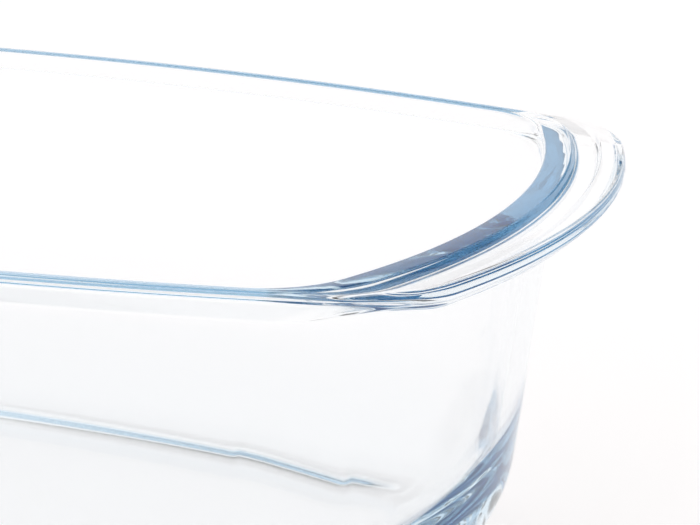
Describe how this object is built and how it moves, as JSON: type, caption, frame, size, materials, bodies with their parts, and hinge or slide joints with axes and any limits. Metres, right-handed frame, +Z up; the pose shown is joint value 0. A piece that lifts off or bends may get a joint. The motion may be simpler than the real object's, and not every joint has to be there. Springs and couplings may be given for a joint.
{
  "type": "glass loaf dish",
  "caption": "Clear pressed-glass loaf dish: bowed rectangular bowl, thickened rim and a grooved crescent handle at each short end.",
  "frame": {"origin": "middle of the flat underside", "axes": "+X along the dish towards one handle, +Y towards one long side, +Z up out of the open top"},
  "size_m": [0.248, 0.1308, 0.068],
  "materials": {
    "clear_glass": "clear, fire-polished, faintly blue through its thickness"
  },
  "bodies": {
    "root": {"glass_dish": "clear_glass"}
  },
  "joints": []
}
